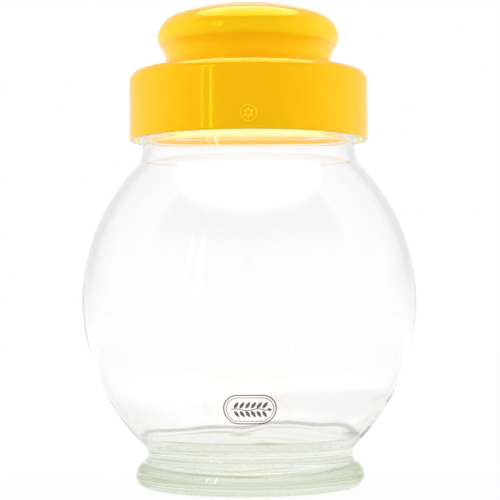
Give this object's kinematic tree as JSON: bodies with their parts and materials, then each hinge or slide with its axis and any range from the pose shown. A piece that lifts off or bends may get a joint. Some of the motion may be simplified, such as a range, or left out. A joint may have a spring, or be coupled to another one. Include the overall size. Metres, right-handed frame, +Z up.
{
  "type": "storage jar",
  "caption": "Empty round-bellied clear glass storage jar on a thick solid foot, with a push-on yellow plastic lid that carries a broad domed knob.",
  "frame": {"origin": "on the jar's axis, in the plane of the ring that it stands on", "axes": "+Z up along the axis, -Y towards the side that carries the small print"},
  "size_m": [0.1328, 0.1328, 0.1936],
  "materials": {
    "jar_glass": "clear, very slightly green, fire-polished",
    "lid_plastic": "glossy warm yellow, injection moulded"
  },
  "bodies": {
    "root": {"glass_jar": "jar_glass", "lid": "lid_plastic"}
  },
  "joints": []
}
